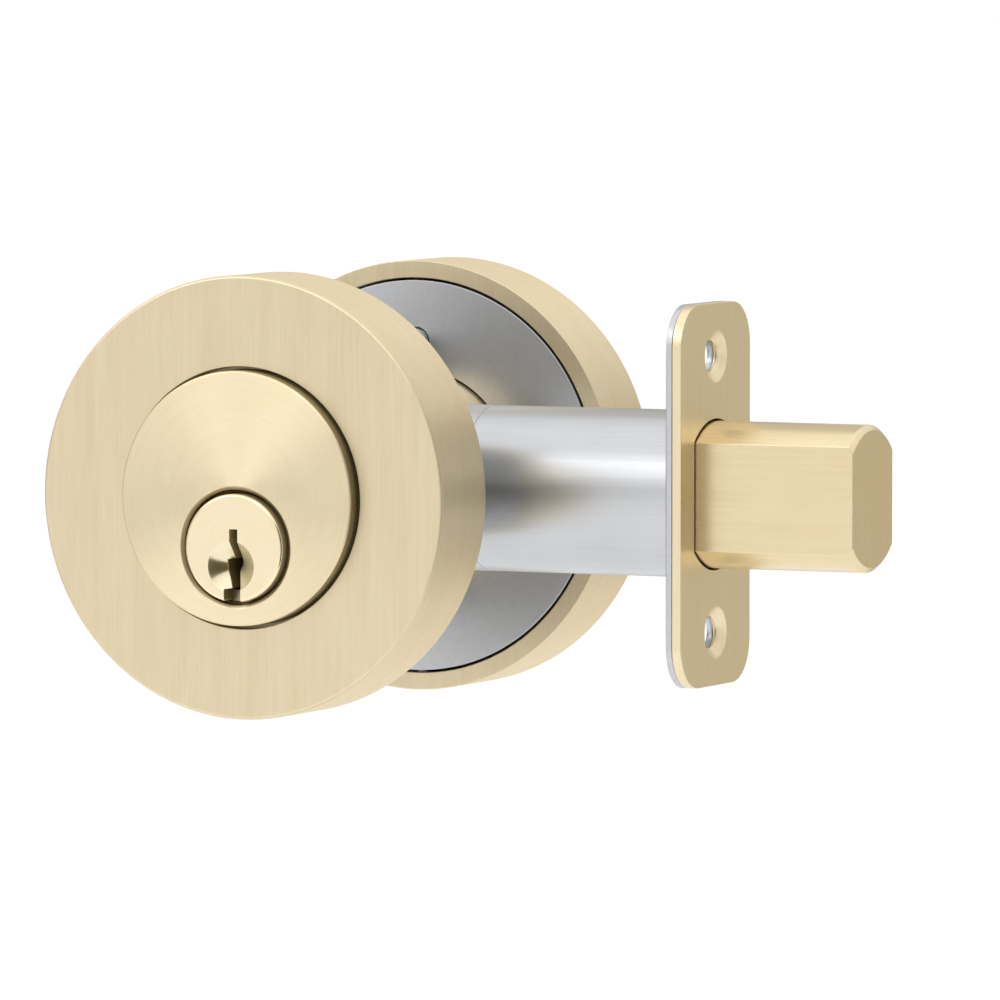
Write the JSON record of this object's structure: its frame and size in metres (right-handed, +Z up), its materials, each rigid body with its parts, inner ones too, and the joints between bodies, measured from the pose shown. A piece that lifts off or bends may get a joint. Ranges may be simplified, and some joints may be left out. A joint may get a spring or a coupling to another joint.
{
  "type": "double-cylinder deadbolt door lock",
  "caption": "Door deadbolt with a keyed cylinder in a round brass rose on each side, a crank hub and a sliding bolt that passes through a tubular edge latch.",
  "frame": {"origin": "on the axis of the 54 mm cross bore, half way through the door, level with the bolt's axis", "axes": "+X toward the door's edge, the way the bolt is thrown; +Y from the outside face to the inside face, along the cross bore; +Z up"},
  "size_m": [0.1187, 0.0804, 0.066],
  "materials": {
    "satin_brass": "pale satin brass; straight vertical brushing on flat faces, lathe brushing on the round head",
    "polished_brass": "polished, with fine turning marks",
    "bolt_brass": "brushed along its length",
    "raw_brass": "unplated machined brass, slightly dull",
    "zinc_steel": "bright zinc-plated steel",
    "hard_steel": "hardened dark steel, ground",
    "spring_steel": "bright spring steel"
  },
  "bodies": {
    "lock": {"exterior_rose": "satin_brass", "exterior_rose_screws": "zinc_steel", "exterior_mounting_plate": "zinc_steel", "exterior_posts": "zinc_steel", "exterior_cylinder_body": "satin_brass", "exterior_driver_pins": "zinc_steel", "exterior_pin_springs": "spring_steel", "exterior_spring_cover": "raw_brass", "interior_rose": "satin_brass", "interior_grub_screw": "hard_steel", "interior_mounting_plate": "zinc_steel", "interior_cylinder_body": "satin_brass", "interior_driver_pins": "zinc_steel", "interior_pin_springs": "spring_steel", "interior_spring_cover": "raw_brass", "through_bolts": "zinc_steel", "latch_tube": "zinc_steel", "backing_plate": "zinc_steel", "faceplate": "satin_brass", "case_exterior_half": "zinc_steel", "case_interior_half": "zinc_steel", "case_rivets": "hard_steel", "friction_spring": "spring_steel"},
    "exterior_plug": {"exterior_plug": "polished_brass", "exterior_key_pins": "polished_brass", "exterior_plug_cap": "raw_brass"},
    "interior_plug": {"interior_plug": "polished_brass", "interior_key_pins": "polished_brass", "interior_plug_cap": "raw_brass"},
    "hub": {"hub_crank": "raw_brass", "crank_pin": "hard_steel", "exterior_tailpiece": "raw_brass", "interior_tailpiece": "raw_brass"},
    "bolt": {"bolt": "bolt_brass", "bolt_tail": "zinc_steel", "tail_rivets": "hard_steel"},
    "roller": {"anti_saw_roller": "hard_steel"}
  },
  "joints": [
    {"name": "bolt_throw", "type": "slide", "parent": "lock", "child": "bolt", "axis": [1, 0, 0], "range_m": [-0.0254, 0]},
    {"name": "hub_turn", "type": "hinge", "parent": "lock", "child": "hub", "pos_m": [0, 0, -0.0073], "axis": [0, 1, 0], "range_deg": [-103.26, 0]},
    {"name": "exterior_plug_turn", "type": "hinge", "parent": "lock", "child": "exterior_plug", "pos_m": [0, -0.03, -0.0073], "axis": [0, 1, 0], "range_deg": [-103.26, 0]},
    {"name": "interior_plug_turn", "type": "hinge", "parent": "lock", "child": "interior_plug", "pos_m": [0, 0.03, -0.0073], "axis": [0, 1, 0], "range_deg": [-90, 90]},
    {"name": "roller_spin", "type": "hinge", "parent": "bolt", "child": "roller", "pos_m": [0.06, 0, -0.004], "axis": [1, 0, 0], "continuous": true}
  ],
  "couplings": [
    {"joint": "hub_turn", "follows": "bolt_throw", "rad_per_m": 70.945},
    {"joint": "exterior_plug_turn", "follows": "bolt_throw", "rad_per_m": 70.945}
  ]
}
